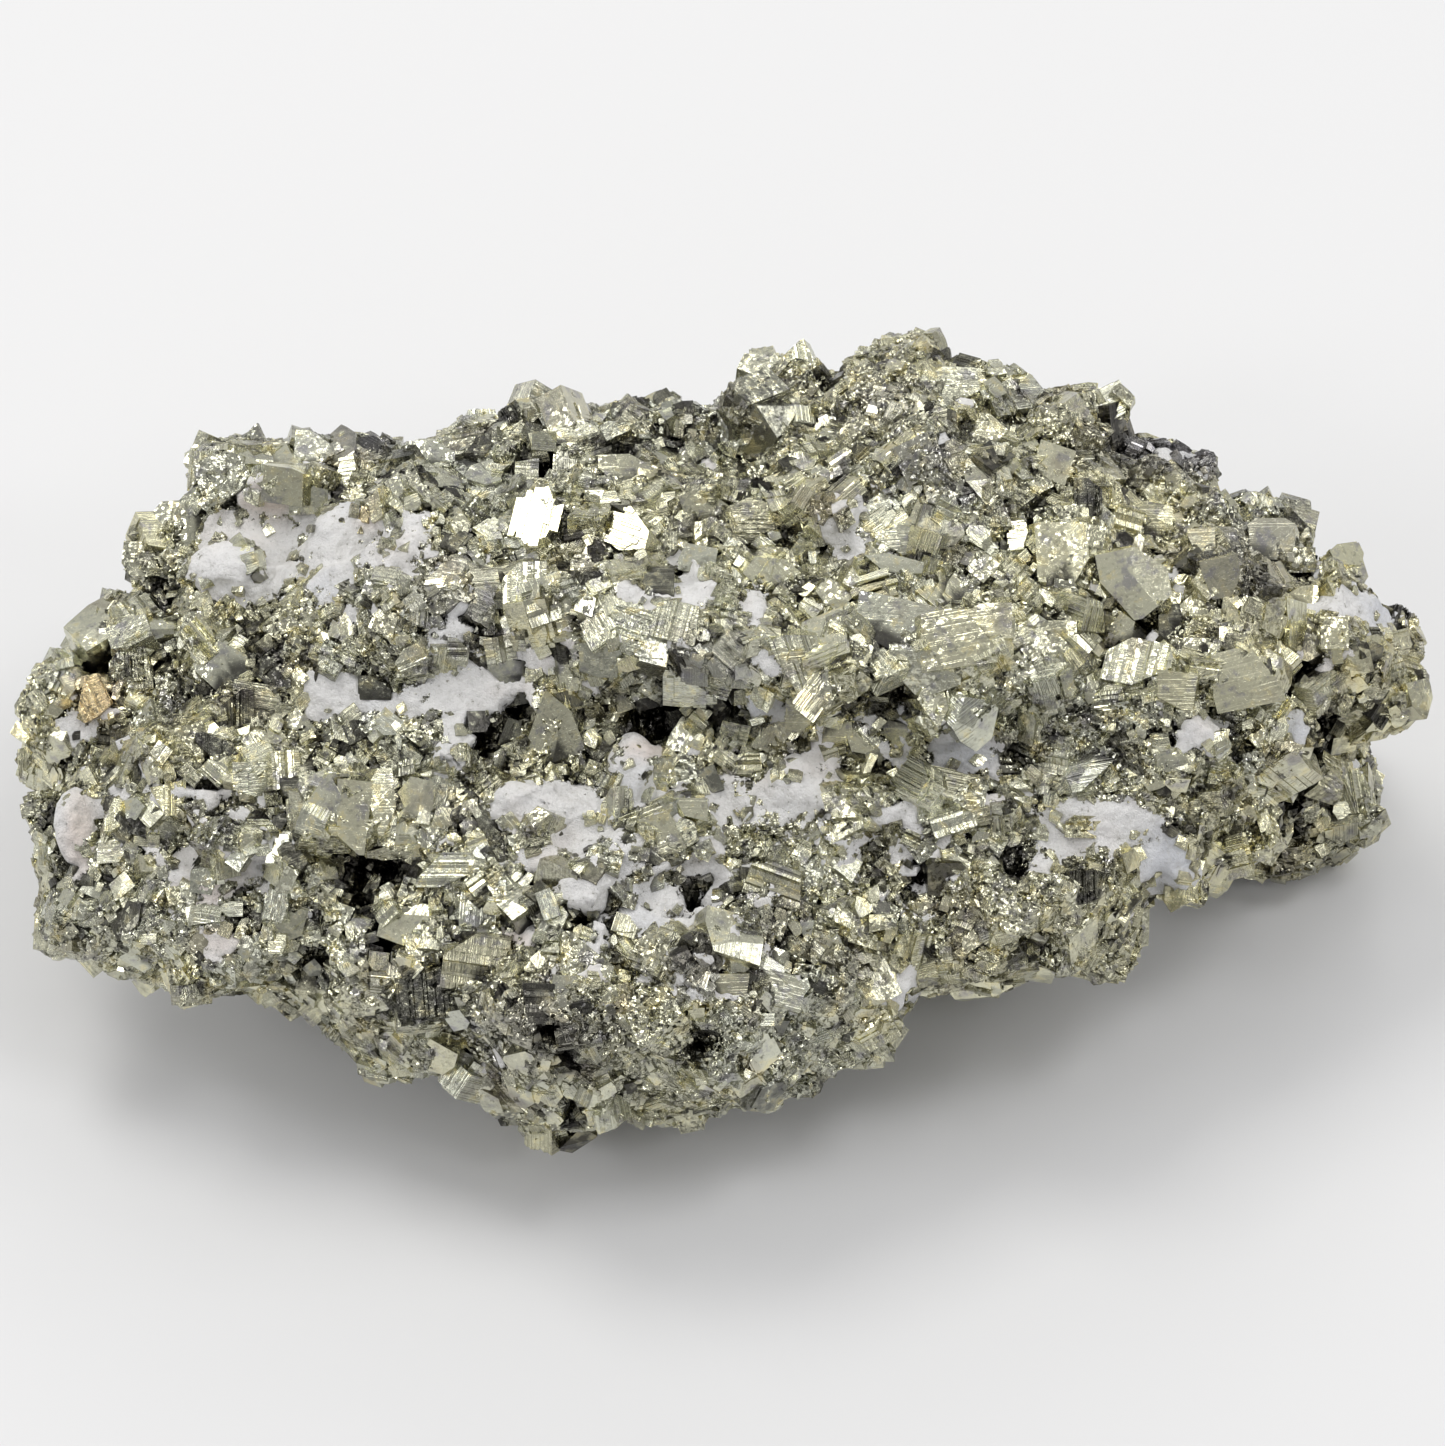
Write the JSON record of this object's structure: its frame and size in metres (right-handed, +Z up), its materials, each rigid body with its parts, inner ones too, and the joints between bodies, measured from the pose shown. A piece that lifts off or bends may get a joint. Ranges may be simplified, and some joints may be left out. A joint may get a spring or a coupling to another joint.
{
  "type": "pyrite specimen",
  "caption": "Hand-sized lump of intergrown brassy pyrite crystals, cubes and stepped blocks, with white clay packed in its hollows and a flat underside.",
  "frame": {"origin": "middle of the outline box, on the flat underside that the specimen rests on", "axes": "+X along the specimen's length to the right as the show face is seen, +Y away from the viewer, +Z up"},
  "size_m": [0.1206, 0.0712, 0.0452],
  "materials": {
    "pyrite": "metallic brassy crystal faces, striated, with dull granular patches and dark pits",
    "clay": "matt, powdery, white with a faint lavender and pink tint"
  },
  "bodies": {
    "root": {"pyrite_mass": "pyrite", "clay_upper_left": "clay", "clay_upper_left_inner": "clay", "clay_upper_left_top": "clay", "clay_left_of_middle": "clay", "clay_middle_left": "clay", "clay_middle_left_low": "clay", "clay_lower_middle": "clay", "clay_lower_middle_low": "clay", "clay_under_ridge": "clay", "clay_middle": "clay", "clay_upper_middle": "clay", "clay_lower_right": "clay", "clay_lower_right_end": "clay", "clay_right": "clay", "clay_right_edge": "clay", "clay_left_edge": "clay", "clay_lower_left": "clay"}
  },
  "joints": []
}
